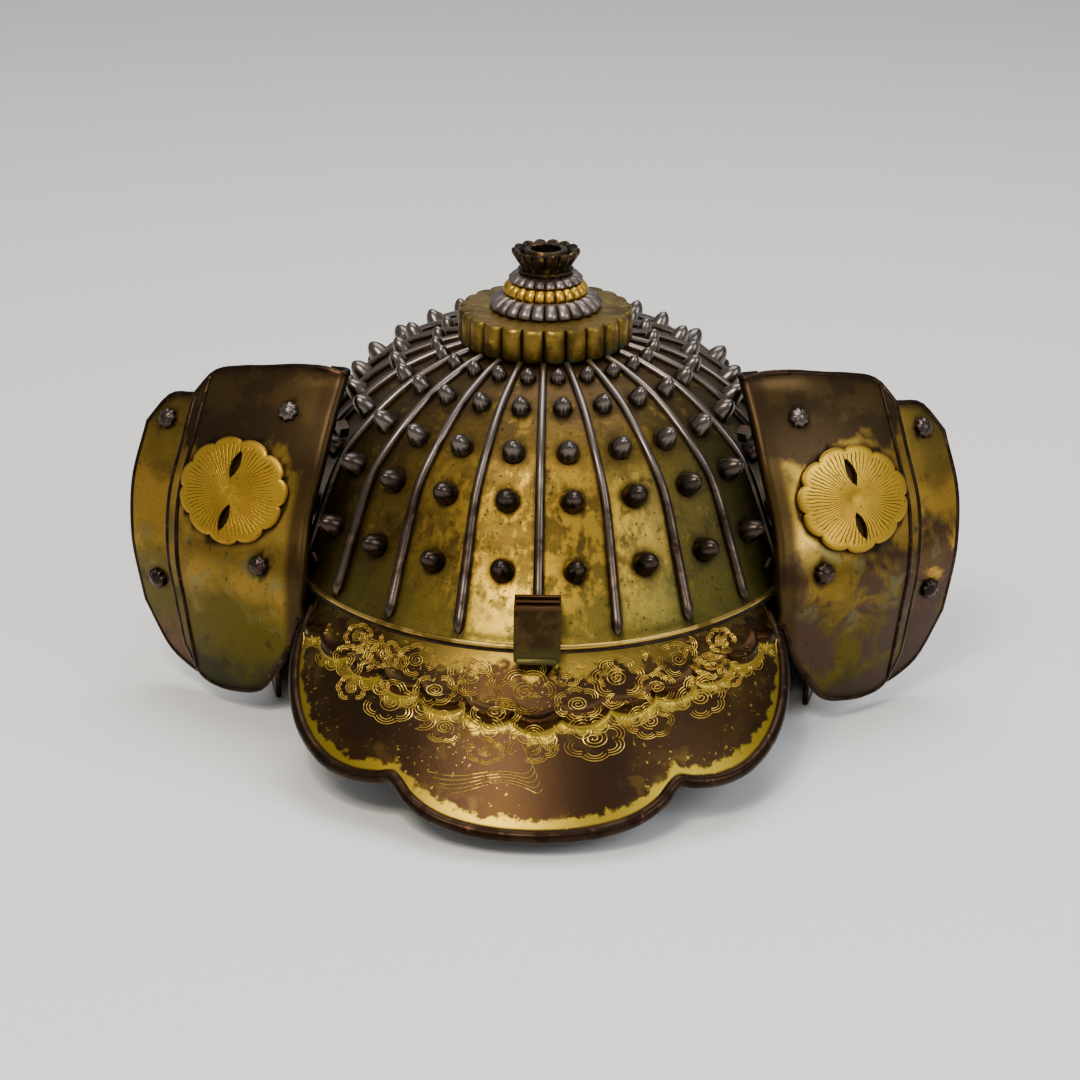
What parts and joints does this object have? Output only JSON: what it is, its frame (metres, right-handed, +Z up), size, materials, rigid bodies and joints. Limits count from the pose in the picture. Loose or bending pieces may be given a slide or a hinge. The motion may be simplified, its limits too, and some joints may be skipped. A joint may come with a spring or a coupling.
{
  "type": "kabuto samurai helmet",
  "caption": "Kabuto helmet of 24 ribbed and riveted brass plates with a cloud-engraved peak, petalled crown fitting, folded side wings with gilt discs and a three-strip neck guard.",
  "frame": {"origin": "centre of the helmet's box, at the surface that it rests on", "axes": "+Z up, the peak points along -Y, +X across the wings towards the wearer's left"},
  "size_m": [0.3298, 0.3276, 0.1777],
  "materials": {
    "brass_plate": "aged brass plate with olive and brown patina",
    "dark_iron": "dark russet iron",
    "brown_copper": "brown patinated copper alloy with worn edges",
    "gilt": "gilt, slightly worn",
    "silver": "silvered, dulled by age"
  },
  "bodies": {
    "root": {"bowl_plate_00": "brass_plate", "bowl_plate_01": "brass_plate", "bowl_plate_02": "brass_plate", "bowl_plate_03": "brass_plate", "bowl_plate_04": "brass_plate", "bowl_plate_05": "brass_plate", "bowl_plate_06": "brass_plate", "bowl_plate_07": "brass_plate", "bowl_plate_08": "brass_plate", "bowl_plate_09": "brass_plate", "bowl_plate_10": "brass_plate", "bowl_plate_11": "brass_plate", "bowl_plate_12": "brass_plate", "bowl_plate_13": "brass_plate", "bowl_plate_14": "brass_plate", "bowl_plate_15": "brass_plate", "bowl_plate_16": "brass_plate", "bowl_plate_17": "brass_plate", "bowl_plate_18": "brass_plate", "bowl_plate_19": "brass_plate", "bowl_plate_20": "brass_plate", "bowl_plate_21": "brass_plate", "bowl_plate_22": "brass_plate", "bowl_plate_23": "brass_plate", "base_band": "dark_iron", "peak": "brown_copper", "crest_socket": "brown_copper", "crown_drum": "brass_plate", "crown_ring_lower": "silver", "crown_ring_gilt": "gilt", "crown_ring_upper": "silver", "crown_cup": "dark_iron", "lame_upper": "brass_plate", "lame_middle": "brass_plate", "lame_lower": "brass_plate", "emblem_right": "gilt", "emblem_left": "gilt", "wing_rivet_front_upper_right": "brown_copper", "wing_rivet_front_upper_left": "brown_copper", "wing_rivet_front_lower_right": "brown_copper", "wing_rivet_front_lower_left": "brown_copper", "wing_rivet_outer_upper_right": "brown_copper", "wing_rivet_outer_upper_left": "brown_copper", "wing_rivet_outer_lower_right": "brown_copper", "wing_rivet_outer_lower_left": "brown_copper", "peg_upper_right": "brown_copper", "peg_upper_left": "brown_copper", "peg_lower_right": "brown_copper", "peg_lower_left": "brown_copper"}
  },
  "joints": []
}
